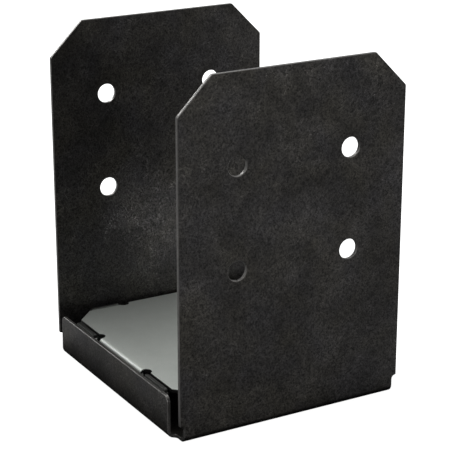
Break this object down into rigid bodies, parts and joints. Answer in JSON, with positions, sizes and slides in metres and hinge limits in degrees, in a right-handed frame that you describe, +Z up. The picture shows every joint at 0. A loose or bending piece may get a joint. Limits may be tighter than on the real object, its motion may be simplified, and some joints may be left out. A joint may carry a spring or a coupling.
{
  "type": "post base",
  "caption": "Folded sheet-metal post base with two tall clipped-corner side plates, low lips front and rear, bolt holes, and a loose standoff plate that lifts the post's end off its base.",
  "frame": {"origin": "centre of the bracket's underside, on the slab", "axes": "+Z up; X across the two side plates; Y along the side plates, from the front lip at -Y to the rear lip at +Y"},
  "size_m": [0.1958, 0.1836, 0.254],
  "materials": {
    "powder_coat": "finely textured black powder coat, matt",
    "galvanised_steel": "dull galvanised sheet"
  },
  "bodies": {
    "bracket": {"bracket": "powder_coat"},
    "standoff": {"standoff_plate": "galvanised_steel"}
  },
  "joints": [
    {"name": "standoff_lift", "type": "slide", "parent": "bracket", "child": "standoff", "axis": [0, 0, 1], "range_m": [0, 0.255]}
  ]
}
